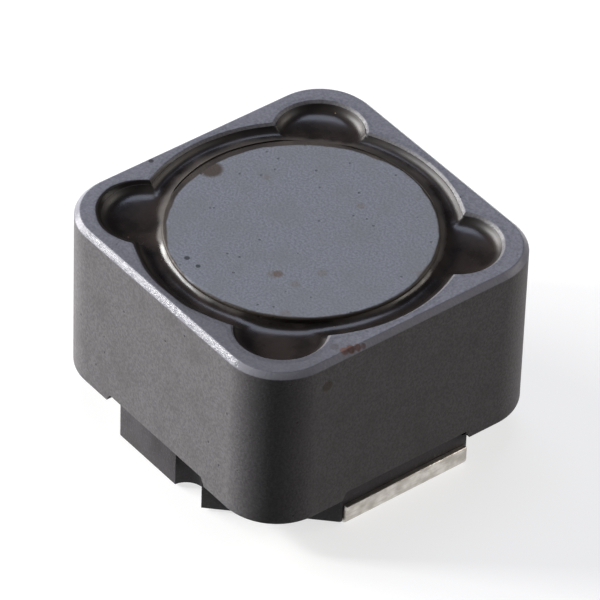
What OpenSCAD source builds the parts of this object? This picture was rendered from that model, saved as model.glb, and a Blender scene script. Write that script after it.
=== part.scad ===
// Shielded surface-mount power inductor: a ferrite drum with its winding, inside a square
// ferrite shield, on a moulded base with two folded sheet terminals.
// Millimetres. +Z is up, and Z = 0 is the plane that the terminals stand on.
// The outline is the same when turned half a turn about Z.

/* [Shield core] */
// Width of the square shield
shield_w = 12.5; // [11.5:0.1:16]
// Height of the shield
shield_h = 6.8; // [5.5:0.1:9]
// Radius of its upright corners
corner_r = 2.15; // [1.6:0.05:2.6]
// Bevel round its top outer edge
shield_bevel = 0.2; // [0.05:0.05:0.3]
// Thinnest wall, in the middle of each side
side_wall = 0.55; // [0.4:0.05:0.8]
// Wall behind each corner pocket
pocket_wall = 0.95; // [0.7:0.05:1.3]
// Radius of a corner pocket
pocket_r = 1.6; // [1.2:0.05:1.8]
// Chamfer round the mouth of bore and pockets
mouth_bevel = 0.12; // [0.05:0.01:0.2]
// Width of the recess in each bottom edge, halfway up it
recess_w = 5.5; // [4.5:0.1:6]
// Depth of those recesses
recess_h = 0.37; // [0.2:0.01:0.5]
// How far each end of a recess slopes
recess_slope = 0.2; // [0.1:0.05:0.4]

/* [Drum core] */
// Gap between drum flange and shield bore
core_gap = 0.85; // [0.75:0.05:1.2]
// Thickness of each flange
flange_t = 1.05; // [0.8:0.05:1.3]
// Radius of the post
post_r = 2.6; // [2.3:0.05:2.6]
// Fillet between post and flange
post_fillet = 0.25; // [0.1:0.05:0.3]
// Chamfer on the flange edges
flange_bevel = 0.1; // [0.05:0.01:0.2]
// How far the drum's top lies below the shield's
drum_drop = 0.05; // [0:0.01:0.2]

/* [Winding] */
// Diameter of the wire over its enamel
wire_d = 0.6; // [0.4:0.05:0.6]
// Gap that a turn leaves to its neighbours and to the drum
wire_gap = 0.03; // [0.02:0.01:0.06]
// Number of layers, an odd one so that the last ends at the top
layers = 3; // [1:2:3]

/* [Base] */
// Thickness of the plate
base_t = 1.2; // [1:0.05:1.5]
// How far the plain sides stand in from the shield's sides
side_inset = 0.15; // [0.05:0.05:0.4]
// How far the terminal sides stand in from the shield's sides
end_inset = 0.29; // [0.25:0.01:0.5]
// Legs of the cut at the two corners that the wires leave by
wire_cut = 3.45; // [3:0.05:3.6]
// Leg of the other corner cuts along the plain sides
plain_cut_x = 3.75; // [3:0.05:3.9]
// Leg of the other corner cuts along the terminal sides
plain_cut_y = 3.15; // [3:0.05:3.6]
// Radius of the base's upright edges
base_edge_r = 0.12; // [0.05:0.01:0.2]
// Width of the U notch in a plain side
notch_w = 1.5; // [1:0.1:1.6]
// Depth of the U notch
notch_depth = 0.68; // [0.4:0.01:0.8]

/* [Terminals] */
// Thickness of the tinned sheet
sheet_t = 0.2; // [0.12:0.01:0.25]
// How far the pads stand below the base
pad_drop = 0.1; // [0.05:0.01:0.15]
// Depth of a pad, from its outer face inwards
pad_depth = 1.8; // [1.4:0.05:1.9]
// Height of the folded lip above the standing plane
lip_h = 0.86; // [0.6:0.01:1]
// Inside radius of the fold
fold_r = 0.12; // [0.05:0.01:0.2]
// Space between the terminal's ends and the corner cuts
terminal_margin = 0.12; // [0.05:0.01:0.3]
// Length of the tab that holds the wire
tab_len = 1.5; // [1:0.1:1.8]

/* [Glue and resin] */
// Thickness of the glue films
glue_t = 0.05; // [0.03:0.01:0.1]
// How far the resin lies below the shield's top, at its lowest in the gap
resin_drop = 0.4; // [0.3:0.05:0.5]
// Width of the slope where the resin creeps up a wall
creep = 0.3; // [0.1:0.05:0.35]
// How far the resin is dished below the shield's top in a corner pocket
pocket_drop = 0.5; // [0.35:0.05:0.6]

/* [Hidden] */
$fn = 64;
eps = 0.01;

// How far a cutting shape runs past what it cuts
past = 1;

// Heights
base_z0 = pad_drop;
base_z1 = base_z0 + base_t;
core_z0 = base_z1 + glue_t;
shield_z1 = core_z0 + shield_h;
drum_z1 = shield_z1 - drum_drop;
window_z0 = core_z0 + flange_t;
window_z1 = drum_z1 - flange_t;

// Plan of the cores
half_w = shield_w / 2;
bore_r = half_w - side_wall;
corner_reach = (half_w - corner_r) * sqrt(2) + corner_r;
pocket_at = corner_reach - pocket_wall - pocket_r;
flange_r = bore_r - core_gap;

// Plan of the base. The corner angles are those of the wires' corners and the plain ones.
base_x = half_w - end_inset;
base_y = half_w - side_inset;
start_angle = -45;
outline = [
    [base_x - wire_cut, -base_y], [base_x, wire_cut - base_y],
    [base_x, base_y - plain_cut_y], [base_x - plain_cut_x, base_y],
    [wire_cut - base_x, base_y], [-base_x, base_y - wire_cut],
    [-base_x, plain_cut_y - base_y], [plain_cut_x - base_x, -base_y]];

// Notches and tongues of the base
notch_r = notch_w / 2;
tongue_spare = 0.1;
drum_spare = 0.1;

// Terminals, with the room that their seats leave round them
seat_gap = 0.03;
pad_x0 = base_x + sheet_t - pad_depth;
term_y0 = wire_cut - base_y + terminal_margin;
term_y1 = base_y - plain_cut_y - terminal_margin;

// The wire's two leads, in the middle of the gap at two opposite pockets. A lead's tail lies in
// a groove under the base, a little proud of it, below the terminal's tab.
wire_r = wire_d / 2;
lead_r = flange_r + core_gap / 2;
lead_x = lead_r * cos(start_angle);
lead_y = lead_r * sin(start_angle);
tail_proud = 0.03;
tail_z = base_z0 + wire_r - tail_proud;
tab_inset = 0.1;
tail_y0 = term_y0 + tab_inset;
tail_y1 = tail_y0 + tab_len;
solder_film = 0.02;
tab_z = tail_z + wire_r + solder_film;
tab_reach = 0.1;
wire_bend = 0.4;

// The coil: steps per turn, its first and last turn's height, and the first layer's radius,
// at which the straight steps clear the post
steps = 20;
step = 360 / steps;
layer_step = wire_d + wire_gap;
first_z = window_z0 + wire_r + wire_gap;
last_z = window_z1 - wire_r - wire_gap;
turns = floor((last_z - first_z) / layer_step);
pitch = (last_z - first_z) / turns;
low_z = last_z - (turns - 1) * pitch;
first_r = (post_r + wire_r + wire_gap) / cos(step / 2);

// Steps in which the wire comes in to the first layer, climbs to the next and leaves the last
lead_in = 6;
climb = 3;
lead_out = 6;

// Resin surface: it meets the walls just below their chamfers
rim_gap = 0.06;
rim_z = shield_z1 - max(mouth_bevel, flange_bevel + drum_drop) - rim_gap;
gap_sag = rim_z - (shield_z1 - resin_drop);
pocket_sag = rim_z - (shield_z1 - pocket_drop);

// ---- shapes used by several pieces ----

function unit(v) = v / norm(v);

// A convex outline with each corner rounded: the straight sides run between tangent points
module rounded_outline(points, r) {
    n = len(points);
    function to_last(i) = unit(points[(i + n - 1) % n] - points[i]);
    function to_next(i) = unit(points[(i + 1) % n] - points[i]);
    function half_angle(i) = acos(to_last(i) * to_next(i)) / 2;
    polygon([for (i = [0:n - 1], side = [0, 1])
        points[i] + (side == 0 ? to_last(i) : to_next(i)) * r / tan(half_angle(i))]);
    for (i = [0:n - 1])
        translate(points[i] + unit(to_last(i) + to_next(i)) * r / sin(half_angle(i)))
            circle(r);
}

// A flat part symmetrical about X = 0, standing up in the XZ plane, y0 to y1 deep
module upright(y0, y1) {
    translate([0, y1, 0])
        rotate([90, 0, 0])
            linear_extrude(y1 - y0)
                children();
}

// Everything twice, the second half a turn round
module both_halves() {
    children();
    rotate(180) children();
}

// Something at the middle of each corner pocket
module at_pockets() {
    for (a = [45:90:315])
        rotate(a) translate([pocket_at, 0]) children();
}

// A trapezoid standing on height 0, wide at its foot, which may go straight on down
module tongue_section(width, height, slope, below = 0) {
    foot = (width + slope) / 2;
    crown = (width - slope) / 2;
    polygon(concat([[-crown, height], [-foot, 0]],
                   below > 0 ? [[-foot, -below], [foot, -below]] : [],
                   [[foot, 0], [crown, height]]));
}

// ---- shield ----

module square_outline(width, r) {
    rounded_outline([for (a = [225, 315, 45, 135]) width / sqrt(2) * [cos(a), sin(a)]], r);
}

// The outer block: upright sides, and a 45 degree bevel round the top
module shield_block() {
    shoulder = shield_h - shield_bevel;
    linear_extrude(shoulder)
        square_outline(shield_w, corner_r);
    translate([0, 0, shoulder]) {
        for (x = [-1, 1], y = [-1, 1])
            translate([x, y, 0] * (half_w - corner_r))
                cylinder(h = shield_bevel, r1 = corner_r, r2 = corner_r - shield_bevel);
        for (a = [0, 90])
            rotate(a)
                upright(corner_r - half_w, half_w - corner_r)
                    tongue_section(shield_w - shield_bevel, shield_bevel, shield_bevel);
    }
}

// Plan of the hollow: the bore and the four corner pockets
module hollow_outline() {
    circle(bore_r);
    at_pockets() circle(pocket_r);
}

// What a 45 degree chamfer takes from the mouth of a round hole, running on as far above it
module mouth_cut(r) {
    cylinder(h = 2 * mouth_bevel, r1 = r, r2 = r + 2 * mouth_bevel);
}

module shield_core() {
    color("#5c5b60")
    translate([0, 0, core_z0])
        difference() {
            shield_block();
            translate([0, 0, -past]) linear_extrude(shield_h + 2 * past) hollow_outline();
            translate([0, 0, shield_h - mouth_bevel]) {
                mouth_cut(bore_r);
                at_pockets() mouth_cut(pocket_r);
            }
            for (a = [0, 90])
                rotate(a)
                    upright(-half_w - past, half_w + past)
                        tongue_section(recess_w, recess_h, recess_slope, past);
        }
}

// ---- drum ----

// Half section of one flange, its face at height 0 and its window side up, with the post's fillet
module flange_section() {
    b = flange_bevel;
    polygon([[0, 0], [flange_r - b, 0], [flange_r, b], [flange_r, flange_t - b],
             [flange_r - b, flange_t], [0, flange_t]]);
    difference() {
        translate([0, flange_t - eps]) square([post_r + post_fillet, post_fillet + eps]);
        translate([post_r + post_fillet, flange_t + post_fillet]) circle(post_fillet);
    }
}

module drum_core() {
    drum_h = drum_z1 - core_z0;
    color("#71767e")
    translate([0, 0, core_z0])
        rotate_extrude() {
            flange_section();
            translate([0, drum_h]) mirror([0, 1]) flange_section();
            square([post_r, drum_h]);
        }
}

// ---- winding ----

function smooth(t) = t * t * (3 - 2 * t);
function mix(a, b, t) = a + (b - a) * t;
function polar(angle, r, z) = [r * cos(angle), r * sin(angle), z];

// Rounds the corner b of the line a, b, c
function bend(a, b, c) =
    [for (i = [0:4]) let (t = i / 4, p = b + unit(a - b) * wire_bend, q = b + unit(c - b) * wire_bend)
        (1 - t) * (1 - t) * p + 2 * t * (1 - t) * b + t * t * q];

// Part of a layer: count steps on from an angle, leaving out the first point
function run(angle, count, r0, r1, z0, z1) =
    [for (i = [1:count]) let (t = i / count)
        polar(angle + i * step, mix(r0, r1, smooth(t)), mix(z0, z1, t))];

// Layer k, counted from 0: its radius, its first angle and the height it starts and ends at.
// The first goes up from the bottom, the next down, and so on.
function layer_r(k) = first_r + k * layer_step;
function layer_angle(k) = start_angle + (lead_in + k * climb) * step;
function layer_z0(k) = k == 0 ? first_z : k % 2 == 1 ? last_z : low_z;
function layer_z1(k) = k % 2 == 1 ? low_z : last_z;
function layer_turns(k) = k == 0 ? turns : turns - 1;

function layer_line(k) = concat(
    k == 0 ? [] : run(layer_angle(k - 1), climb, layer_r(k - 1), layer_r(k), layer_z0(k), layer_z0(k)),
    run(layer_angle(k), layer_turns(k) * steps, layer_r(k), layer_r(k), layer_z0(k), layer_z1(k)));

// The last turn leaves the coil, sinks beside it and ends over the finish terminal's pocket
last_layer = layers - 1;
around = round((start_angle + 540 - layer_angle(last_layer)) / step);
sink = around - lead_out + 2;
finish_run = [for (i = [1:around])
    polar(layer_angle(last_layer) + i * step,
          mix(layer_r(last_layer), lead_r, smooth(min(1, i / lead_out))),
          mix(last_z, first_z, smooth(max(0, (i - around + sink) / sink))))];

start_tail = [lead_x, tail_y1, tail_z];
start_foot = [lead_x, lead_y, tail_z];
start_top = [lead_x, lead_y, first_z];
start_run = run(start_angle, lead_in, lead_r, first_r, first_z, first_z);
finish_top = finish_run[around - 1];
finish_foot = [-lead_x, -lead_y, tail_z];
finish_tail = [-lead_x, -tail_y1, tail_z];

wire_line = concat(
    [start_tail],
    bend(start_tail, start_foot, start_top),
    bend(start_foot, start_top, start_run[0]),
    start_run,
    [for (k = [0:last_layer]) each layer_line(k)],
    [for (i = [0:around - 2]) finish_run[i]],
    bend(finish_run[around - 2], finish_top, finish_foot),
    bend(finish_top, finish_foot, finish_tail),
    [finish_tail]);

// A round wire swept along a line of points, as one closed polyhedron of 8 sides
module swept_wire(line, r) {
    n = len(line);
    sides = 8;
    function along(i) = unit(line[min(i + 1, n - 1)] - line[max(i - 1, 0)]);
    function outward(i) = let (o = unit([line[i].x, line[i].y, 0]), t = along(i)) unit(o - (o * t) * t);
    points = [for (i = [0:n - 1]) let (u = outward(i), v = cross(along(i), u))
        for (k = [0:sides - 1]) let (a = (k + 0.5) * 360 / sides)
            line[i] + r * (cos(a) * u + sin(a) * v)];
    walls = [for (i = [0:n - 2], k = [0:sides - 1])
        let (a = i * sides + k, b = i * sides + (k + 1) % sides)
        each [[a, a + sides, b + sides], [a, b + sides, b]]];
    caps = [[for (k = [0:sides - 1]) k],
            [for (k = [0:sides - 1]) n * sides - 1 - k]];
    polyhedron(points, concat(walls, caps));
}

module winding() {
    color("#9c4a22")
        swept_wire(wire_line, wire_r);
}

// ---- base ----

// The cut-out of a U notch, beside the corner that a wire leaves by
module notch_outline() {
    translate([base_x - wire_cut - notch_r, notch_depth - notch_r - base_y]) {
        circle(notch_r);
        translate([-notch_r, -notch_w]) square([notch_w, notch_w]);
    }
}

// What a terminal's fold takes from the base's lower edge
module fold_relief() {
    difference() {
        translate([base_x - fold_r, 0]) square([fold_r + past, sheet_t + fold_r]);
        translate([base_x - fold_r, sheet_t + fold_r]) circle(fold_r);
    }
}

// The cavity for one wire end: a slot in the corner cut, a groove, and the tab's pocket
module wire_way() {
    side = 0.1;
    width = wire_d + 2 * side;
    pocket_x0 = lead_x - width / 2 - side;
    translate([lead_x, lead_y, 0]) {
        cylinder(h = base_z1 + past, r = width / 2);
        rotate(start_angle) translate([0, -width / 2, 0]) cube([wire_cut, width, base_z1 + past]);
    }
    translate([lead_x - width / 2, lead_y, 0])
        cube([width, tail_y1 + side - lead_y, tab_z]);
    translate([pocket_x0, tail_y0 - side, 0])
        cube([pad_x0 + sheet_t + side - pocket_x0, tab_len + 2 * side, tab_z + sheet_t]);
}

// One pair of opposite tongues, which sit in the shield's recesses
module tongues() {
    translate([0, 0, base_z1])
        upright(-half_w, half_w)
            tongue_section(recess_w - 2 * tongue_spare, recess_h, recess_slope, eps);
}

module base() {
    color("#232123")
    difference() {
        union() {
            translate([0, 0, base_z0])
                linear_extrude(base_t)
                    rounded_outline(outline, base_edge_r);
            difference() {
                intersection() {
                    translate([0, 0, base_z1 - eps])
                        linear_extrude(recess_h + 2 * eps)
                            rounded_outline(outline, base_edge_r);
                    union() {
                        tongues();
                        rotate(90) tongues();
                    }
                }
                translate([0, 0, base_z1 - past])
                    cylinder(h = recess_h + 2 * past, r = flange_r + drum_spare);
            }
        }
        both_halves() {
            linear_extrude(base_z1 + recess_h + past) notch_outline();
            // Seat of the pad, and the rounded edge that the sheet folds over
            translate([pad_x0 - seat_gap, term_y0 - seat_gap, 0])
                cube([pad_depth, term_y1 - term_y0 + 2 * seat_gap, sheet_t]);
            upright(term_y0 - seat_gap, term_y1 + seat_gap) fold_relief();
            wire_way();
        }
    }
}

// ---- terminals and solder ----

// Side view of the pad, the fold and the lip that stands against the base
module pad_section() {
    outer = fold_r + sheet_t;
    face_x = base_x + sheet_t;
    translate([pad_x0, 0]) square([face_x - outer - pad_x0, sheet_t]);
    translate([face_x - outer, outer])
        intersection() {
            difference() {
                circle(outer);
                circle(fold_r);
            }
            translate([0, -outer]) square(outer);
        }
    translate([base_x, outer]) square([sheet_t, lip_h - outer]);
}

// The underside of a tab's rise from the pad's inner edge
lean = 0.35;
function slope_x(z) = pad_x0 - lean * z;

// Side view of the tab: it slopes up, then lies over the wire
module tab_section() {
    slant_t = sheet_t * sqrt(1 + lean * lean);
    tip_x = lead_x - wire_r - tab_reach;
    polygon([[pad_x0 + sheet_t, 0], [pad_x0, 0], [slope_x(tab_z), tab_z], [tip_x, tab_z],
             [tip_x, tab_z + sheet_t], [slope_x(tab_z + sheet_t) + slant_t, tab_z + sheet_t],
             [slope_x(sheet_t) + slant_t, sheet_t]]);
}

// One terminal, on the +X side
module terminal() {
    color("#b9b4ac") {
        upright(term_y0, term_y1) pad_section();
        upright(tail_y0, tail_y1) tab_section();
    }
}

// The joint between the wire's end and the tab: it fills the space round the wire, up to the tab
module solder() {
    r = wire_r + 0.12;
    lift = 0.05;
    bottom_z = 0.03;
    left_x = lead_x - r;
    color("#c4c2bd")
    difference() {
        intersection() {
            translate([lead_x, 0, tail_z + lift]) {
                translate([0, tail_y0 + r, 0])
                    rotate([-90, 0, 0]) cylinder(h = tab_len - 2 * r, r = r);
                for (y = [tail_y0 + r, tail_y1 - r])
                    translate([0, y, 0]) sphere(r);
            }
            upright(tail_y0, tail_y1)
                polygon([[left_x, bottom_z], [slope_x(bottom_z), bottom_z],
                         [slope_x(tab_z), tab_z], [left_x, tab_z]]);
        }
        translate([lead_x, tail_y0 - past, tail_z])
            rotate([-90, 0, 0]) cylinder(h = tab_len + past, r = wire_r);
    }
}

module terminal_start() terminal();
module terminal_finish() rotate(180) terminal();
module solder_start() solder();
module solder_finish() rotate(180) solder();

// ---- resin and glue ----

// Resin stands highest on the walls that it wets: it is dished in each corner pocket, and level
// along the middle of the gap
module gap_resin() {
    dish_r = (pocket_r * pocket_r + pocket_sag * pocket_sag) / (2 * pocket_sag);
    level_z = rim_z - gap_sag;
    spill = 0.04;
    cut_z = rim_z + 2 * spill;
    over = creep * 2 * spill / gap_sag;
    color("#1c1817")
    difference() {
        translate([0, 0, window_z1])
            linear_extrude(rim_z + spill - window_z1)
                difference() {
                    hollow_outline();
                    circle(flange_r);
                }
        rotate_extrude()
            polygon([[flange_r - over, cut_z], [flange_r + creep, level_z],
                     [bore_r - creep, level_z], [bore_r + over, cut_z]]);
        at_pockets()
            translate([0, 0, rim_z - pocket_sag + dish_r]) sphere(dish_r);
    }
}

module drum_adhesive() {
    edge = 0.1;
    color("#8a7a5a")
        translate([0, 0, base_z1])
            cylinder(h = glue_t, r = flange_r - flange_bevel - edge);
}

// A film wherever a tongue's top faces a recess, short of the notches
module shield_adhesive() {
    width = recess_w - 2 * tongue_spare - recess_slope;
    edge = 0.1;
    color("#8a7a5a")
        translate([0, 0, core_z0 + recess_h - glue_t])
            linear_extrude(glue_t)
                difference() {
                    intersection() {
                        rounded_outline(outline, base_edge_r);
                        for (a = [0, 90])
                            rotate(a) square([width, shield_w], center = true);
                    }
                    hollow_outline();
                    both_halves()
                        translate([base_x - wire_cut - notch_w - edge, -half_w])
                            square([half_w, half_w - flange_r]);
                }
}

shield_core();
drum_core();
winding();
base();
terminal_start();
terminal_finish();
solder_start();
solder_finish();
gap_resin();
drum_adhesive();
shield_adhesive();
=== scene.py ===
import math

import bmesh
import bpy
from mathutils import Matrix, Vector, noise


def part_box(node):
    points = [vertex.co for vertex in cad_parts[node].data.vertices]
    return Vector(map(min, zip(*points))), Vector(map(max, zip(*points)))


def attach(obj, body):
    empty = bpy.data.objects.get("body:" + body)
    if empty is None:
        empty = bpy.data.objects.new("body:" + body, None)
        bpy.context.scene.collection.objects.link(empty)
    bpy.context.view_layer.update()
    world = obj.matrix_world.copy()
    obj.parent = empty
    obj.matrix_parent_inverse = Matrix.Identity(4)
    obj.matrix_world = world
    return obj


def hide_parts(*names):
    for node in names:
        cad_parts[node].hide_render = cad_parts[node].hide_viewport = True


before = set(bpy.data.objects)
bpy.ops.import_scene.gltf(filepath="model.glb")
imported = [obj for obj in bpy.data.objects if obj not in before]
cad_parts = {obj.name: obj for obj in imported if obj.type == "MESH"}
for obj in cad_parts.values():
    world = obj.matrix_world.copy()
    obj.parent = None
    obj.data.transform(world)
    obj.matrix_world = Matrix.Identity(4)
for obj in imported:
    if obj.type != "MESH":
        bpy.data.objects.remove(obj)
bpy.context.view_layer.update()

# ---- Base ----
# The base is a thin plate of black phenolic moulding. Its four corners are cut off, two sides
# have a U notch, and low tongues on its top sit in the recesses of the shield. It comes out of
# the mould satin, with every edge a little blunt and a faint flow in its faces.
mm = 0.001


def linear(code):
    """An sRGB colour such as #a0b1c2, as the linear values that a shader takes."""
    parts = [int(code[i:i + 2], 16) / 255 for i in (1, 3, 5)]
    return [c / 12.92 if c <= 0.04045 else ((c + 0.055) / 1.055) ** 2.4 for c in parts] + [1]


def add(tree, kind, inputs=(), **settings):
    """Adds a node. Its inputs, listed in order or by name, take values, sockets or other nodes."""
    node = tree.nodes.new(kind)
    for name, value in settings.items():
        setattr(node, name, value)
    open_inputs = [socket for socket in node.inputs if socket.enabled]
    for key, value in (inputs.items() if isinstance(inputs, dict) else enumerate(inputs)):
        socket = open_inputs[key] if isinstance(key, int) else next(
            s for s in open_inputs if s.name == key)
        if isinstance(value, bpy.types.Node):
            value = next(s for s in value.outputs if s.enabled)
        if isinstance(value, bpy.types.NodeSocket):
            tree.links.new(value, socket)
        else:
            socket.default_value = value
    return node


def begin_finish(name):
    """A new material with an empty tree, and the piece's own coordinates to place patterns by."""
    paint = bpy.data.materials.new(name)
    paint.use_nodes = True
    paint.node_tree.nodes.clear()
    place = add(paint.node_tree, "ShaderNodeTexCoord").outputs["Object"]
    return paint, paint.node_tree, place


def end_finish(paint, surface):
    """Closes a material with its shader, whose inputs are given by name."""
    shader = add(paint.node_tree, "ShaderNodeBsdfPrincipled", surface)
    add(paint.node_tree, "ShaderNodeOutputMaterial", {"Surface": shader})
    return paint


def laid_over(tree, colour, cover, pattern, low, high, most=1.0):
    """A colour under another, which comes in smoothly as a pattern goes from low to high."""
    share = add(tree, "ShaderNodeMapRange", [pattern, low, high, 0, most],
                interpolation_type="SMOOTHSTEP")
    return add(tree, "ShaderNodeMix", [share, colour, cover], data_type="RGBA")


def mottled(tree, place, size, dark, light, detail=2.0):
    """Two colours in soft patches of about a size. Gives the colour, and the pattern behind it."""
    pattern = add(tree, "ShaderNodeTexNoise", {"Vector": place, "Scale": 1 / size,
                                               "Detail": detail}).outputs["Fac"]
    return laid_over(tree, dark, light, pattern, 0.33, 0.67), pattern


def hang(name, mesh, slot, *nodes):
    """Hangs a finished mesh in the frame, in place of the CAD nodes that it stands for."""
    piece = bpy.data.objects.new(name, mesh)
    bpy.context.scene.collection.objects.link(piece)
    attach(piece, "root")
    if nodes:
        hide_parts(*nodes)
    return piece


def painted(mesh, paint, sharpest=30):
    """Smooth faces in one material, with a sharp edge where they meet at more than an angle."""
    mesh.materials.clear()
    mesh.materials.append(paint)
    mesh.shade_smooth()
    mesh.set_sharp_from_angle(angle=math.radians(sharpest))
    return mesh


def joined_copy(node):
    """A copy of a CAD node's mesh, its loose triangles joined and its flat faces made whole."""
    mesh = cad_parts[node].data.copy()
    work = bmesh.new()
    work.from_mesh(mesh)
    bmesh.ops.remove_doubles(work, verts=work.verts, dist=0.0005 * mm)
    bmesh.ops.dissolve_limit(work, angle_limit=math.radians(0.6), verts=work.verts,
                             edges=work.edges)
    work.to_mesh(mesh)
    work.free()
    return mesh


def worked(mesh, *steps):
    """The mesh after some modifiers, each given as its kind and a dictionary of its settings."""
    helper = bpy.data.objects.new("helper", mesh)
    bpy.context.scene.collection.objects.link(helper)
    for kind, settings in steps:
        step = helper.modifiers.new(kind, kind)
        for name, value in settings.items():
            setattr(step, name, value)
    seen = helper.evaluated_get(bpy.context.evaluated_depsgraph_get())
    result = bpy.data.meshes.new_from_object(seen)
    bpy.data.objects.remove(helper)
    return result


def blunted(mesh, width):
    """The mesh with its sharp edges rounded to a small width."""
    return worked(mesh, ("BEVEL", {"width": width, "segments": 2, "limit_method": "ANGLE",
                                   "angle_limit": math.radians(40)}))


def moulded_phenolic():
    """Moulded phenolic: satin and nearly black, with fine mould grain and faint flow marks.

    The real grain is too fine to show, so it is drawn 0.09 mm wide.
    """
    paint, tree, place = begin_finish("moulded_phenolic")
    colour, flow = mottled(tree, place, 1.4 * mm, linear("#3f3c3e"), linear("#545155"), 3)
    fine = add(tree, "ShaderNodeTexNoise", {"Vector": place, "Scale": 1 / (0.09 * mm)})
    colour = laid_over(tree, colour, linear("#6d6a6c"), fine, 0.55, 0.7, 0.35)
    dull = add(tree, "ShaderNodeMapRange", [flow, 0.3, 0.7, 0.42, 0.56])
    relief = add(tree, "ShaderNodeBump", {"Height": fine, "Distance": 0.01 * mm})
    return end_finish(paint, {
        "Base Color": colour, "Roughness": dull,
        "Specular IOR Level": 0.25, "Normal": relief})


plate = painted(blunted(joined_copy("base"), 0.05 * mm), moulded_phenolic(), 40)
hang("base_plate", plate, "base_plastic", "base")

# ---- Terminals ----
# Each terminal is one strip of tinned copper, sheared to size and folded round a side of the
# base: a pad below, a lip up the side and a tab that reaches in over the wire's end. Its edges
# are a little blunt from shearing, and the tin is dull and mottled.


def matt_tin():
    """Matt tin plate: soft grey metal, mottled by handling and drawn in fine lines along Y.

    The rolling lines are too fine to show, so they are drawn 0.05 mm apart.
    """
    paint, tree, place = begin_finish("matt_tin_plate")
    colour, blotch = mottled(tree, place, 0.45 * mm, linear("#bfbab2"), linear("#dedad3"), 4)
    drawn = add(tree, "ShaderNodeMapping", {"Vector": place, "Scale": (1.0, 0.12, 1.0)})
    lines = add(tree, "ShaderNodeTexNoise", {"Vector": drawn, "Scale": 1 / (0.05 * mm)})
    colour = laid_over(tree, colour, linear("#a09b93"), lines, 0.45, 0.7, 0.35)
    dull = add(tree, "ShaderNodeMapRange", [blotch, 0.3, 0.7, 0.5, 0.36])
    height = add(tree, "ShaderNodeMath", [lines.outputs["Fac"], blotch], operation="ADD")
    relief = add(tree, "ShaderNodeBump", {"Height": height, "Distance": 0.008 * mm})
    return end_finish(paint, {
        "Base Color": colour, "Roughness": dull, "Metallic": 1.0, "Normal": relief})


tin = matt_tin()
for side in ("start", "finish"):
    strip = painted(blunted(joined_copy("terminal_" + side), 0.03 * mm), tin, 45)
    hang("terminal_strip_" + side, strip, "tinned_sheet", "terminal_" + side)

# ---- Drum ----
# The drum is a ferrite bobbin: a post between two round flanges. Only the face of its top
# flange shows. It is ground flat, blue grey and fine grained, with a few pits and brown stains,
# a round dot where the winding starts, and resin crept over its rim.


def rounded_line(corners, steps=4):
    """A line through (across, up, radius) corners, with an arc of that radius at each."""
    line = []
    for i, (x, y, radius) in enumerate(corners):
        here = Vector((x, y))
        if radius == 0 or i in (0, len(corners) - 1):
            line.append(here)
            continue
        before = (Vector(corners[i - 1][:2]) - here).normalized()
        after = (Vector(corners[i + 1][:2]) - here).normalized()
        half = before.angle(after) / 2
        centre = here + (before + after).normalized() * radius / math.sin(half)
        start = here + before * radius / math.tan(half) - centre
        end = here + after * radius / math.tan(half) - centre
        line += [centre + start.lerp(end, k / steps).normalized() * radius
                 for k in range(steps + 1)]
    return line


def turned(section, sides=192):
    """A body of revolution about Z, from a half section of (radius, height) points in mm."""
    mesh = bpy.data.meshes.new("turned")
    work = bmesh.new()
    turns = [k * math.tau / sides for k in range(sides)]
    rings = []
    for r, z in section:
        count = sides if r > 0 else 1
        rings.append([work.verts.new((r * math.cos(a) * mm, r * math.sin(a) * mm, z * mm))
                      for a in turns[:count]])
    for low, high in zip(rings, rings[1:]):
        for k in range(sides):
            j = (k + 1) % sides
            corners = [low[k % len(low)], low[j % len(low)],
                       high[j % len(high)], high[k % len(high)]]
            work.faces.new(list(dict.fromkeys(corners)))
    work.to_mesh(mesh)
    work.free()
    return mesh


low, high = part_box("drum_core")
drum_r = high.x / mm
drum_z0 = low.z / mm
drum_z1 = high.z / mm
flange_t = 1.05
post_r = 2.6
post_fillet = 0.25
rim_round = 0.09


def pitted(tree, place, spacing, share, size):
    """Pits scattered over a sintered face, in a share of its cells: 1 in a pit, 0 elsewhere."""
    cells = add(tree, "ShaderNodeTexVoronoi", {"Vector": place, "Scale": 1 / spacing})
    chance = add(tree, "ShaderNodeSeparateColor", [cells.outputs["Color"]])
    chosen = add(tree, "ShaderNodeMath", [chance, share], operation="LESS_THAN")
    near = add(tree, "ShaderNodeMapRange", [cells.outputs["Distance"], 0.25 * size / spacing,
                                            0.5 * size / spacing, 1, 0])
    return add(tree, "ShaderNodeMath", [chosen, near], operation="MULTIPLY")


def marked(tree, place, colour, marks):
    """The colour with soft round marks on it: centre and radius in mm, colour and strength."""
    for centre, radius, stain, strength in marks:
        away = add(tree, "ShaderNodeVectorMath", [place, [c * mm for c in centre]],
                   operation="DISTANCE").outputs["Value"]
        colour = laid_over(tree, colour, linear(stain), away, radius * mm, 0.6 * radius * mm,
                           strength)
    return colour


def in_plan(tree, place):
    """A place without its height, and its distance from the drum's axis."""
    parts = add(tree, "ShaderNodeSeparateXYZ", [place])
    plan = add(tree, "ShaderNodeCombineXYZ", [parts.outputs["X"], parts.outputs["Y"]])
    radius = add(tree, "ShaderNodeVectorMath", [plan], operation="LENGTH").outputs["Value"]
    return plan, radius


disc_marks = [  # centre and radius in mm, colour, strength; the first is the start dot
    ((-4.38, -0.6, drum_z1), 0.52, "#443b35", 0.95),
    ((1.49, -2.17, drum_z1), 0.22, "#5b4c42", 0.7),
    ((-1.03, -4.19, drum_z1), 0.13, "#34353a", 0.9),
    ((-0.46, -4.14, drum_z1), 0.11, "#34353a", 0.9)]


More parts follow.
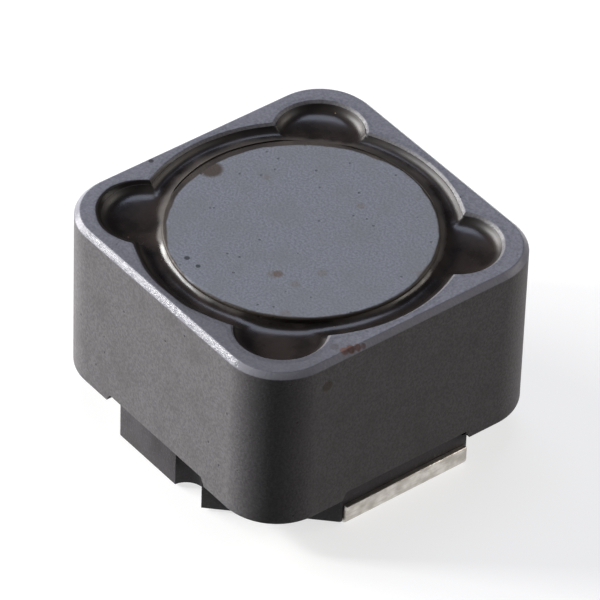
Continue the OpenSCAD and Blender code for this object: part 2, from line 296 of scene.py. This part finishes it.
def ground_ferrite():
    """Ground ferrite: blue grey, matt and close grained, with a brown film round the rim.

    The real grain is about 0.01 mm, too fine to show, so it is drawn 0.09 mm wide.
    """
    paint, tree, place = begin_finish("ground_ferrite")
    ragged = add(tree, "ShaderNodeTexNoise", {"Vector": place, "Scale": 1 / (1.1 * mm),
                                              "Detail": 3.0}).outputs["Fac"]
    colour, fine = mottled(tree, place, 0.09 * mm, linear("#676a71"), linear("#777a82"), 4)
    colour = laid_over(tree, colour, linear("#6b6c70"), ragged, 0.4, 0.7, 0.5)
    stains = pitted(tree, place, 1.1 * mm, 0.4, 0.5 * mm)
    colour = laid_over(tree, colour, linear("#5f5852"), stains, 0, 1, 0.4)
    pits = pitted(tree, place, 0.45 * mm, 0.35, 0.13 * mm)
    colour = laid_over(tree, colour, linear("#505157"), pits, 0, 1, 0.8)
    colour = marked(tree, place, colour, disc_marks)
    plan, radius = in_plan(tree, place)
    height = add(tree, "ShaderNodeSeparateXYZ", [place]).outputs["Z"]
    leftward = add(tree, "ShaderNodeVectorMath", [plan, (-0.98, 0.2, 0)],
                   operation="DOT_PRODUCT").outputs["Value"]
    creep = add(tree, "ShaderNodeMapRange", [leftward, 1.0 * mm, 4.8 * mm, 0.07 * mm, 0.34 * mm])
    waver = add(tree, "ShaderNodeMapRange", [ragged, 0.25, 0.75, -0.05 * mm, 0.07 * mm])
    reach = add(tree, "ShaderNodeMath", [creep, waver], operation="ADD")
    inward = add(tree, "ShaderNodeMath", [drum_r * mm, radius], operation="SUBTRACT")
    short = add(tree, "ShaderNodeMath", [reach, inward], operation="SUBTRACT")
    film = laid_over(tree, linear("#2f2a27"), linear("#453f3a"), ragged, 0.3, 0.7)
    colour = laid_over(tree, colour, film, short, -0.03 * mm, 0.04 * mm)
    colour = laid_over(tree, colour, film, height, (drum_z1 - 0.05) * mm, (drum_z1 - 0.1) * mm)
    dull = add(tree, "ShaderNodeMapRange", [fine, 0.3, 0.7, 0.46, 0.58])
    dents = add(tree, "ShaderNodeMath", [fine, pits], operation="SUBTRACT")
    relief = add(tree, "ShaderNodeBump", {"Height": dents, "Distance": 0.012 * mm})
    return end_finish(paint, {"Base Color": colour, "Roughness": dull,
                              "Specular IOR Level": 0.25, "Normal": relief})


section = rounded_line([
    (0, drum_z0, 0), (drum_r, drum_z0, rim_round), (drum_r, drum_z0 + flange_t, rim_round),
    (post_r, drum_z0 + flange_t, post_fillet), (post_r, drum_z1 - flange_t, post_fillet),
    (drum_r, drum_z1 - flange_t, rim_round), (drum_r, drum_z1, rim_round),
    (drum_r - 2 * rim_round, drum_z1, 0), (0, drum_z1, 0)])
hang("drum_bobbin", painted(turned(section), ground_ferrite()), "drum_ferrite", "drum_core")

# ---- Winding ----
# The winding is one length of enamelled copper wire. It comes up from the start terminal in a
# corner pocket, lies in three layers on the post, and goes down to the finish terminal in the
# opposite pocket. Its enamel is a smooth clear coat on warm copper.
low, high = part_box("winding")
wire_d = 0.6
wire_r = wire_d / 2
wire_gap = 0.03
layers = 3
step = 18
finer = 3
lead_in, climb, lead_out = 6, 3, 6
start_angle = -45
core_gap = 0.85
lead_r = drum_r + core_gap / 2
layer_step = wire_d + wire_gap
first_z = drum_z0 + flange_t + wire_r + wire_gap
last_z = drum_z1 - flange_t - wire_r - wire_gap
turns = math.floor((last_z - first_z) / layer_step)
low_z = last_z - (turns - 1) * (last_z - first_z) / turns
first_r = (post_r + wire_r + wire_gap) / math.cos(math.radians(step / 2))
lead_x = lead_r * math.cos(math.radians(start_angle))
lead_y = lead_r * math.sin(math.radians(start_angle))
tail_z = low.z / mm + wire_r
tail_y = -0.93  # where a wire end stops, under its terminal's tab


def soft_step(t):
    return t * t * (3 - 2 * t)


def between(a, b, t):
    return a + (b - a) * t


def polar(angle, r, z):
    a = math.radians(angle)
    return Vector((r * math.cos(a), r * math.sin(a), z))


def wound(angle, count, r0, r1, z0, z1):
    """A stretch of wire so many steps on round the post, without its first point."""
    ways = [i / (count * finer) for i in range(1, count * finer + 1)]
    return [polar(angle + t * count * step, between(r0, r1, soft_step(t)), between(z0, z1, t))
            for t in ways]


def bent(a, b, c, reach=0.4, parts=8):
    """The corner b of the line a, b, c as a smooth bend."""
    p = b + (a - b).normalized() * reach
    q = b + (c - b).normalized() * reach
    ways = [i / parts for i in range(parts + 1)]
    return [(1 - t) ** 2 * p + 2 * t * (1 - t) * b + t * t * q for t in ways]


start_tail = Vector((lead_x, tail_y, tail_z))
start_foot = Vector((lead_x, lead_y, tail_z))
start_top = Vector((lead_x, lead_y, first_z))
coming_in = wound(start_angle, lead_in, lead_r, first_r, first_z, first_z)
coil = []
angle = start_angle + lead_in * step
radius = first_r
for layer in range(layers):
    upward = layer % 2 == 0
    z0 = first_z if layer == 0 else low_z if upward else last_z
    z1 = last_z if upward else low_z
    count = turns if layer == 0 else turns - 1
    if layer > 0:
        coil += wound(angle, climb, radius, radius + layer_step, z0, z0)
        angle += climb * step
        radius += layer_step
    coil += wound(angle, count * 360 // step, radius, radius, z0, z1)
    angle += count * 360
around = round((start_angle + 540 - angle % 360) / step)
sink = around - lead_out + 2
going_out = []
for i in range(1, around * finer + 1):
    n = i / finer
    leaving = soft_step(min(1, n / lead_out))
    sinking = soft_step(max(0, (n - around + sink) / sink))
    going_out.append(polar(angle + n * step, between(radius, lead_r, leaving),
                           between(last_z, first_z, sinking)))
finish_foot = Vector((-lead_x, -lead_y, tail_z))
finish_tail = Vector((-lead_x, -tail_y, tail_z))
line = [start_tail, *bent(start_tail, start_foot, start_top),
        *bent(start_foot, start_top, coming_in[0], 0.2), *coming_in, *coil, *going_out[:-2],
        *bent(going_out[-2], going_out[-1], finish_foot, 0.2),
        *bent(going_out[-1], finish_foot, finish_tail), finish_tail]


def grown(name, data, tree, **sizes):
    """The plain mesh that a Geometry Nodes tree makes from an object's data and some sizes."""
    helper = bpy.data.objects.new(name, data)
    bpy.context.scene.collection.objects.link(helper)
    step = helper.modifiers.new(name, "NODES")
    step.node_group = tree
    for socket in tree.interface.items_tree:
        if socket.in_out == "INPUT" and socket.name in sizes:
            step[socket.identifier] = sizes[socket.name]
    seen = helper.evaluated_get(bpy.context.evaluated_depsgraph_get())
    mesh = bpy.data.meshes.new_from_object(seen)
    helper.modifiers.remove(step)
    bpy.data.objects.remove(helper)
    return mesh


def begin_tree(name, *sizes):
    """A Geometry Nodes tree with a named input for each size, given as (name, kind of socket)."""
    tree = bpy.data.node_groups.new(name, "GeometryNodeTree")
    tree.interface.new_socket("Geometry", in_out="INPUT", socket_type="NodeSocketGeometry")
    for size, kind in sizes:
        tree.interface.new_socket(size, in_out="INPUT", socket_type="NodeSocket" + kind)
    tree.interface.new_socket("Geometry", in_out="OUTPUT", socket_type="NodeSocketGeometry")
    return tree, add(tree, "NodeGroupInput").outputs


def end_tree(tree, shape, paint):
    """Closes a tree: instances are made real and the material is set."""
    real = add(tree, "GeometryNodeRealizeInstances", [shape])
    made = add(tree, "GeometryNodeSetMaterial", {"Geometry": real, "Material": paint})
    add(tree, "NodeGroupOutput", [made])


def enamelled_copper():
    """Enamelled copper: a warm metal under a smooth amber coat of uneven thickness."""
    paint, tree, place = begin_finish("enamelled_copper")
    colour, cloud = mottled(tree, place, 0.8 * mm, linear("#8c4420"), linear("#b9683a"), 3)
    dull = add(tree, "ShaderNodeMapRange", [cloud, 0.3, 0.7, 0.24, 0.38])
    relief = add(tree, "ShaderNodeBump", {"Height": cloud, "Distance": 0.02 * mm})
    return end_finish(paint, {
        "Base Color": colour, "Roughness": dull,
        "Metallic": 0.85, "Coat Weight": 0.6, "Coat Roughness": 0.15, "Normal": relief})


route = bpy.data.curves.new("wire_route", "CURVE")
route.dimensions = "3D"
spline = route.splines.new("POLY")
spline.points.add(len(line) - 1)
for point, place in zip(spline.points, line):
    point.co = (*(place * mm), 1)
tree, given = begin_tree("swept_wire", ("Wire radius", "Float"), ("Sides", "Int"))
ring = add(tree, "GeometryNodeCurvePrimitiveCircle",
           {"Resolution": given["Sides"], "Radius": given["Wire radius"]})
swept = add(tree, "GeometryNodeCurveToMesh",
            {"Curve": given["Geometry"], "Profile Curve": ring, "Fill Caps": True})
copper = enamelled_copper()
end_tree(tree, swept, copper)
wire = grown("swept_wire", route, tree, **{"Wire radius": wire_r * mm, "Sides": 14})
hang("winding_wire", painted(wire, copper, 50), "enamelled_copper", "winding")

# ---- Solder ----
# Each wire end is soldered under the tab of its terminal. The solder is bright where it has
# wetted the tin, and it has a slightly rough, cooled skin.


def cooled_solder():
    """Tin solder: bright grey metal with a faintly crinkled skin."""
    paint, tree, place = begin_finish("tin_solder")
    colour, skin = mottled(tree, place, 0.18 * mm, linear("#b4b2ad"), linear("#dcdad6"), 4)
    dull = add(tree, "ShaderNodeMapRange", [skin, 0.3, 0.7, 0.22, 0.36])
    relief = add(tree, "ShaderNodeBump", {"Height": skin, "Distance": 0.015 * mm})
    return end_finish(paint, {
        "Base Color": colour, "Roughness": dull,
        "Metallic": 1.0, "Normal": relief})


solder = cooled_solder()
for side in ("start", "finish"):
    blob = painted(joined_copy("solder_" + side), solder, 40)
    hang("solder_joint_" + side, blob, "solder", "solder_" + side)

# ---- Shield ----
# The shield is a square tube of pressed and sintered ferrite. Its bore opens into four round
# corner pockets, a bevel runs round its top and a recess crosses the middle of each bottom
# edge. It is tumbled smooth: dull grey with a fine grain. Along the bevel it is lighter,
# partly from wear and partly as a painted highlight.
low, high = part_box("shield_core")
half_w = high.x / mm
shield_z0 = low.z / mm
shield_z1 = high.z / mm
corner_r = 2.15
bevel = 0.2
pocket_wall = 0.95
pocket_r = 1.6
mouth_bevel = 0.12
bore_r = drum_r + core_gap
pocket_at = (half_w - corner_r) * math.sqrt(2) + corner_r - pocket_wall - pocket_r
recess_w = 5.5
recess_h = 0.37
recess_slope = 0.2
pocket_steps = 64
bore_steps = 40


def hollow_line(grow):
    """The outline of bore and pockets in plan, grown outwards, always of as many points."""
    big, small = bore_r + grow, pocket_r + grow
    meet = math.acos((pocket_at ** 2 + big ** 2 - small ** 2) / (2 * pocket_at * big))
    swing = math.acos((big ** 2 - pocket_at ** 2 - small ** 2) / (2 * pocket_at * small))
    points = []
    for quarter in range(4):
        middle = math.radians(45 + 90 * quarter)
        centre = Vector((math.cos(middle), math.sin(middle))) * pocket_at
        for k in range(pocket_steps):
            a = middle - swing + 2 * swing * k / pocket_steps
            points.append(centre + small * Vector((math.cos(a), math.sin(a))))
        for k in range(bore_steps):
            a = middle + meet + (math.pi / 2 - 2 * meet) * k / bore_steps
            points.append(big * Vector((math.cos(a), math.sin(a))))
    return points


directions = [point.normalized() for point in hollow_line(0)]


def square_line(inset):
    """The shield's outline in plan, set in by some mm, with a point in each of the directions."""
    flat, r, core = half_w - inset, corner_r - inset, half_w - corner_r
    points = []
    for ray in directions:
        point = ray * flat / max(abs(ray.x), abs(ray.y))
        if min(abs(point.x), abs(point.y)) > core:
            corner = Vector((math.copysign(core, ray.x), math.copysign(core, ray.y)))
            along = corner.dot(ray)
            point = ray * (along + math.sqrt(along ** 2 - corner.length_squared + r ** 2))
        points.append(point)
    return points


def at_height(points, z):
    return [(p.x, p.y, z) for p in points]


def tube_of(loops):
    """A closed tube through loops of points in mm: each joins the next, the last the first.

    Its faces point outwards if the loops go up the inside and down the outside.
    """
    count = len(loops[0])
    faces = []
    for i in range(len(loops)):
        n = (i + 1) % len(loops)
        for k in range(count):
            j = (k + 1) % count
            faces.append([i * count + k, n * count + k, n * count + j, i * count + j])
    mesh = bpy.data.meshes.new("tube")
    mesh.from_pydata([Vector(p) * mm for loop in loops for p in loop], [], faces)
    return mesh


wall = rounded_line([(0, shield_z0, 0), (0, shield_z1 - mouth_bevel, 0.04),
                     (mouth_bevel, shield_z1, 0.04), (1, shield_z1, 0)], 3)[:-1]
wall.insert(1, Vector((0, shield_z1 - 1)))
flank = rounded_line([(1, shield_z1, 0), (bevel, shield_z1, 0.06), (0, shield_z1 - bevel, 0.06),
                      (0, shield_z0, 0.06), (1, shield_z0, 0)], 3)[1:-1]
shoulder = [i for i, p in enumerate(flank) if p.x == 0 or p.y < shield_z1 - bevel - 0.01][0]
flank[shoulder + 1:shoulder + 1] = [Vector((0, shield_z1 - 0.4)), Vector((0, shield_z0 + 0.2))]
loops = [at_height(hollow_line(p.x), p.y) for p in wall]
mouth, brow = hollow_line(wall[-1].x), square_line(flank[0].x)
for share in (0.08, 0.2, 0.35, 0.5, 0.65, 0.8, 0.92):
    loops.append(at_height([a.lerp(b, share) for a, b in zip(mouth, brow)], shield_z1))
loops += [at_height(square_line(p.x), p.y) for p in flank]
loops.append(at_height([a.lerp(b, 0.5) for a, b in zip(hollow_line(0), square_line(0))],
                       shield_z0))
tube = tube_of(loops)


def bar_across(width, height, slope, turned_by):
    """A bar under the shield, narrower at its top, that runs through under one pair of sides."""
    foot, crown, below, end = (width + slope) / 2, (width - slope) / 2, 1.0, half_w + 1
    section = [(-foot, -below), (foot, -below), (foot, 0), (crown, height), (-crown, height),
               (-foot, 0)]
    points, faces = [], [list(range(6)), list(range(11, 5, -1))]
    for y in (-end, end):
        for x, z in section:
            spot = (x, y) if turned_by == 0 else (-y, x)
            points.append(Vector((*spot, shield_z0 + z)) * mm)
    for k in range(6):
        j = (k + 1) % 6
        faces.append([j, k, 6 + k, 6 + j])
    bar = bpy.data.objects.new("bar", bpy.data.meshes.new("bar"))
    bar.data.from_pydata(points, [], faces)
    bpy.context.scene.collection.objects.link(bar)
    return bar


bars = [bar_across(recess_w, recess_h, recess_slope, quarter) for quarter in (0, 90)]
tube = worked(tube, *[("BOOLEAN", {"object": bar, "solver": "EXACT"}) for bar in bars])
for bar in bars:
    bpy.data.objects.remove(bar)


def out_of_hollow(x, y):
    """How far a point lies outside the bore and the corner pockets, in mm; negative inside."""
    bore = math.hypot(x, y) - bore_r
    away = pocket_at / math.sqrt(2)
    pocket = math.hypot(abs(x) - away, abs(y) - away) - pocket_r
    return min(bore, pocket)


def measured(mesh, name, value_at):
    """Stores a value at each point of a mesh, worked out from where the point is in mm."""
    values = mesh.attributes.new(name, "FLOAT", "POINT")
    for item, vertex in zip(values.data, mesh.vertices):
        item.value = value_at(*(vertex.co / mm))


measured(tube, "out_of_hollow", lambda x, y, z: out_of_hollow(x, y))

shield_marks = [  # centre and radius in mm, colour, strength: rust, then dirt, then a chip
    ((6.02, -2.85, 8.09), 0.19, "#6a4432", 0.7),
    ((6.06, -2.6, 8.08), 0.2, "#5d3c2d", 0.8),
    ((6.1, -2.33, 8.05), 0.17, "#6a4432", 0.7),
    ((6.13, -2.1, 8.03), 0.13, "#5d3c2d", 0.6),
    ((5.69, -3.0, 8.15), 0.2, "#534b4b", 0.5),
    ((6.25, -3.7, 7.13), 0.26, "#453f33", 0.7),
    ((-5.94, -2.06, 8.15), 0.12, "#2f2d30", 0.8)]


def sintered_ferrite():
    """Tumbled ferrite: dull warm grey, bluer where ground, wet with resin at its mouth.

    Its grain is drawn as wide as the drum's, for the same reason.
    """
    paint, tree, place = begin_finish("sintered_ferrite")
    colour, fine = mottled(tree, place, 0.09 * mm, linear("#676567"), linear("#787678"), 4)
    cloud = add(tree, "ShaderNodeTexNoise", {"Vector": place, "Scale": 1 / (1.3 * mm),
                                             "Detail": 3.0}).outputs["Fac"]
    colour = laid_over(tree, colour, linear("#5e5c5c"), cloud, 0.45, 0.75, 0.4)
    pits = pitted(tree, place, 0.5 * mm, 0.3, 0.12 * mm)
    colour = laid_over(tree, colour, linear("#333136"), pits, 0, 1, 0.8)
    height = add(tree, "ShaderNodeSeparateXYZ", [place]).outputs["Z"]
    ground = laid_over(tree, linear("#5d5f69"), linear("#6f717b"), fine, 0.33, 0.67)
    # Painted shade: the ground top is darkened towards the front left.
    front_shade_reach = add(tree, "ShaderNodeVectorMath", [place, (0.3, -0.95, 0)],
                  operation="DOT_PRODUCT").outputs["Value"]
    ground = laid_over(tree, ground, linear("#434349"), front_shade_reach, 3.3 * mm, 6.0 * mm, 0.6)
    colour = laid_over(tree, colour, ground, height, (shield_z1 - 0.03) * mm,
                       (shield_z1 - 0.005) * mm, 0.8)
    outside = add(tree, "ShaderNodeAttribute", attribute_name="out_of_hollow").outputs["Fac"]
    outer = add(tree, "ShaderNodeMath", [outside, 0.3], operation="GREATER_THAN")
    # The outer bevel is given a lighter colour: partly tumbling wear, partly a painted highlight.
    up_bevel = add(tree, "ShaderNodeMapRange", [height, (shield_z1 - bevel - 0.03) * mm,
                                                (shield_z1 - bevel + 0.02) * mm])
    on_bevel = add(tree, "ShaderNodeMapRange", [height, (shield_z1 - 0.03) * mm,
                                                (shield_z1 + 0.01) * mm, 1, 0])
    bevel_wear_and_highlight = add(tree, "ShaderNodeMath", [up_bevel, on_bevel], operation="MULTIPLY")
    bevel_wear_and_highlight = add(tree, "ShaderNodeMath", [bevel_wear_and_highlight, outer], operation="MULTIPLY")
    colour = laid_over(tree, colour, linear("#96969f"), bevel_wear_and_highlight, 0, 1, 0.65)
    colour = marked(tree, place, colour, shield_marks)
    front_left = add(tree, "ShaderNodeVectorMath", [place, (-0.35, -0.93, 0)],
                     operation="DOT_PRODUCT").outputs["Value"]
    spread = add(tree, "ShaderNodeMapRange", [front_left, 3.0 * mm, 5.6 * mm, 0.01, 0.22])
    waver = add(tree, "ShaderNodeMapRange", [cloud, 0.3, 0.7, -0.03, 0.03])
    spread = add(tree, "ShaderNodeMath", [spread, waver], operation="ADD")
    within = add(tree, "ShaderNodeMath", [spread, outside], operation="SUBTRACT")
    colour = laid_over(tree, colour, linear("#24201f"), within, -0.02, 0.04)
    wet = add(tree, "ShaderNodeMapRange", [within, -0.02, 0.04])
    lip = add(tree, "ShaderNodeMapRange", [outside, 0.1, 0.16, 0.3, 0.52])
    smooth = add(tree, "ShaderNodeMix", [bevel_wear_and_highlight, lip, 0.17], data_type="FLOAT")
    dull = add(tree, "ShaderNodeMix", [wet, smooth, 0.3], data_type="FLOAT")
    grain = add(tree, "ShaderNodeMath", [fine, pits], operation="SUBTRACT")
    dry = add(tree, "ShaderNodeMapRange", [wet, 0, 1, 1, 0.1])
    grain = add(tree, "ShaderNodeMath", [grain, dry], operation="MULTIPLY")
    relief = add(tree, "ShaderNodeBump", {"Height": grain, "Distance": 0.012 * mm})
    return end_finish(paint, {"Base Color": colour, "Roughness": dull,
                              "Specular IOR Level": 0.12, "Normal": relief})


hang("shield_tube", painted(tube, sintered_ferrite(), 30), "shield_ferrite", "shield_core")

# ---- Glue ----
# Thin films of amber epoxy hold the drum on the base and the tongues in the shield's recesses.
# They end level with the base's sides and a little inside the drum's rim.


def amber_epoxy():
    """Cured clear epoxy in a thin film: amber brown, glossy and a little uneven."""
    paint, tree, place = begin_finish("amber_epoxy")
    colour, cloud = mottled(tree, place, 0.5 * mm, linear("#6e5a38"), linear("#93805a"), 3)
    relief = add(tree, "ShaderNodeBump", {"Height": cloud, "Distance": 0.01 * mm})
    return end_finish(paint, {"Base Color": colour, "Roughness": 0.25, "Normal": relief})


amber = amber_epoxy()
for node in ("drum_adhesive", "shield_adhesive"):
    hang(node.replace("adhesive", "glue_film"), painted(joined_copy(node), amber), "glue", node)

# ---- Resin ----
# Black epoxy is poured into the gap between drum and shield and cured in place. It creeps up
# every wall it wets, dishes in the corner pockets, and shines where it is thick. Next to the
# drum it has dried to a thin, dull brown film.
low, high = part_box("gap_resin")
resin_z0 = low.z / mm
resin_level = shield_z1 - 0.38
rows = 30
overlap = 0.01
rim_clear = 0.02
dish_depth = 0.1
ripple_height = 0.03
ripple_length = 1 / 0.7
to_back = (-0.776, 0.631)  # the resin crept higher on this side


def resin_height(x, y):
    """The height of the resin's surface over a point of the gap."""
    r = math.hypot(x, y)
    backward = (to_back[0] * x + to_back[1] * y) / r
    share = soft_step((backward + 1) / 2)
    off_drum = max(0, r - drum_r)
    off_wall = max(0, -out_of_hollow(x, y))
    drum_rise, drum_creep = between(0.2, 0.37, share), between(0.16, 0.3, share)
    wall_rise, wall_creep = between(0.2, 0.29, share), 0.16
    creep = drum_rise * math.exp(-off_drum / drum_creep) + wall_rise * math.exp(-off_wall / wall_creep)
    away = pocket_at / math.sqrt(2)
    from_middle = math.hypot(abs(x) - away, abs(y) - away) / pocket_r
    dish = dish_depth * (min(1, from_middle ** 2) - 1)
    ripple = ripple_height * noise.noise(Vector((x, y, 0)) / ripple_length)
    return min(resin_level + creep + dish + ripple, shield_z1 - rim_clear)


outer_line, inner_line = hollow_line(overlap), [p * (drum_r - overlap) for p in directions]
shares = [(1 - math.cos(math.pi * k / rows)) / 2 for k in range(rows + 1)]
loops = []
for share in shares:
    ring = [a.lerp(b, share) for a, b in zip(inner_line, outer_line)]
    loops.append([(p.x, p.y, resin_height(p.x, p.y)) for p in ring])
loops += [at_height(outer_line, resin_z0), at_height(inner_line, resin_z0)]
pool = tube_of(loops)
measured(pool, "out_of_hollow", lambda x, y, z: out_of_hollow(x, y))


def poured_epoxy():
    """Black potting epoxy: glossy where it is deep, dull brown film where it thins at the drum."""
    paint, tree, place = begin_finish("poured_epoxy")
    colour, cloud = mottled(tree, place, 0.9 * mm, linear("#201c1b"), linear("#302a28"), 3)
    plan, radius = in_plan(tree, place)
    backward = add(tree, "ShaderNodeVectorMath", [plan, (*to_back, 0)],
                   operation="DOT_PRODUCT").outputs["Value"]
    creep = add(tree, "ShaderNodeMapRange", [backward, -1.0 * mm, 4.5 * mm, 0, 0.5 * mm])
    waver = add(tree, "ShaderNodeMapRange", [cloud, 0.25, 0.75, -0.1 * mm, 0.1 * mm])
    reach = add(tree, "ShaderNodeMath", [creep, waver], operation="ADD")
    outward = add(tree, "ShaderNodeMath", [radius, drum_r * mm], operation="SUBTRACT")
    short = add(tree, "ShaderNodeMath", [reach, outward], operation="SUBTRACT")
    film = laid_over(tree, linear("#2d2927"), linear("#3e3834"), cloud, 0.3, 0.7)
    colour = laid_over(tree, colour, film, short, -0.12 * mm, 0.1 * mm)
    flecks = pitted(tree, place, 0.35 * mm, 0.1, 0.06 * mm)
    colour = laid_over(tree, colour, linear("#a08b62"), flecks, 0, 1)
    outside = add(tree, "ShaderNodeAttribute", attribute_name="out_of_hollow").outputs["Fac"]
    gloss = add(tree, "ShaderNodeMapRange", [outside, -0.3, -0.05, 0.22, 0.5])
    dried = add(tree, "ShaderNodeMapRange", [short, -0.12 * mm, 0.1 * mm])
    dull = add(tree, "ShaderNodeMix", [dried, gloss, 0.62], data_type="FLOAT")
    relief = add(tree, "ShaderNodeBump", {"Height": cloud, "Distance": 0.008 * mm})
    return end_finish(paint, {"Base Color": colour, "Roughness": dull,
                              "Specular IOR Level": 0.4, "Normal": relief})


hang("resin_fill", painted(pool, poured_epoxy(), 60), "black_epoxy", "gap_resin")

# ---- Floor, light and camera ----
# A white sheet lies under the part and runs on out of sight. The part is lit by a softbox at
# the left, a weaker one at the right, a bluish one overhead and a small bright edge lamp.


def white_sheet():
    """White paper that looks white to the eye and in reflections but throws little light back."""
    paint = bpy.data.materials.new("white_paper")
    paint.use_nodes = True
    tree = paint.node_tree
    tree.nodes.clear()
    path = add(tree, "ShaderNodeLightPath").outputs
    seen = add(tree, "ShaderNodeMath", [path["Is Camera Ray"], path["Is Glossy Ray"]],
               operation="MAXIMUM")
    seen = add(tree, "ShaderNodeMath", [seen, path["Is Transmission Ray"]], operation="MAXIMUM")
    paper = add(tree, "ShaderNodeBsdfDiffuse", {"Color": [0.35, 0.35, 0.35, 1]})
    glow = add(tree, "ShaderNodeEmission", {"Color": [1, 1, 1, 1], "Strength": 0.7})
    both = add(tree, "ShaderNodeAddShader", [paper, glow])
    dark = add(tree, "ShaderNodeBsdfDiffuse", {"Color": [0.05, 0.05, 0.05, 1]})
    add(tree, "ShaderNodeOutputMaterial",
        {"Surface": add(tree, "ShaderNodeMixShader", [seen, dark, both])})
    return paint


def direction(azimuth, elevation):
    """A unit vector: azimuth 0 is in front of the part, 90 at its right."""
    a, e = math.radians(azimuth), math.radians(elevation)
    return Vector((math.sin(a) * math.cos(e), -math.cos(a) * math.cos(e), math.sin(e)))


middle = Vector((0, 0, 4)) * mm
sheet_reach = 2000
sheet_z = -0.005
sheet = bpy.data.meshes.new("paper")
sheet.from_pydata([(x * sheet_reach * mm, y * sheet_reach * mm, sheet_z * mm)
                   for x, y in ((-1, -1), (1, -1), (1, 1), (-1, 1))], [], [[0, 1, 2, 3]])
sheet.materials.append(white_sheet())
floor = bpy.data.objects.new("paper_floor", sheet)
bpy.context.scene.collection.objects.link(floor)


def softbox(name, azimuth, elevation, away, width, height, brightness, tint):
    """A flat lamp that faces the part from a direction, so many mm away and so many mm in size."""
    lamp = bpy.data.lights.new(name, "AREA")
    lamp.shape = "RECTANGLE"
    lamp.size, lamp.size_y = width * mm, height * mm
    lamp.energy = brightness * math.pi * width * height * mm * mm
    lamp.color = linear(tint)[:3]
    box = bpy.data.objects.new(name, lamp)
    bpy.context.scene.collection.objects.link(box)
    box.location = middle + direction(azimuth, elevation) * away * mm
    box.rotation_euler = direction(azimuth, elevation).to_track_quat("Z", "Y").to_euler()


softbox("left_softbox", -64, 16, 400, 180, 160, 26.0, "#fffdfb")
softbox("right_softbox", 148, 24, 400, 240, 160, 5.4, "#fff8f0")
softbox("overhead_softbox", 231, 68, 400, 220, 160, 4.2, "#dde6ff")
softbox("edge_lamp", -43, 29, 400, 60, 60, 110.0, "#ffffff")

world = bpy.data.worlds.new("room")
bpy.context.scene.world = world
world.use_nodes = True
room = world.node_tree
room.nodes.clear()
path = add(room, "ShaderNodeLightPath").outputs
seen = add(room, "ShaderNodeMath", [path["Is Camera Ray"], path["Is Transmission Ray"]],
           operation="MAXIMUM")
white = add(room, "ShaderNodeBackground", {"Color": [1, 1, 1, 1], "Strength": 1.0})
dim = add(room, "ShaderNodeBackground", {"Color": [1, 1, 1, 1], "Strength": 0.015})
add(room, "ShaderNodeOutputWorld", {"Surface": add(room, "ShaderNodeMixShader",
                                                   [seen, dim, white])})

view_from = Vector((130.118, -105.902, 147.648)) * mm
looks_at = Vector((-0.281, 0.286, 4.468)) * mm
roll = 2.023
lens = bpy.data.cameras.new("camera")
lens.lens = 377.56
lens.clip_start = 0.01
eye = bpy.data.objects.new("camera", lens)
bpy.context.scene.collection.objects.link(eye)
eye.location = view_from
aim = (view_from - looks_at).to_track_quat("Z", "Y").to_matrix()
eye.rotation_euler = aim.to_euler()
eye.rotation_euler.rotate_axis("Z", math.radians(roll))
bpy.context.scene.camera = eye
bpy.context.scene.view_settings.view_transform = "Standard"
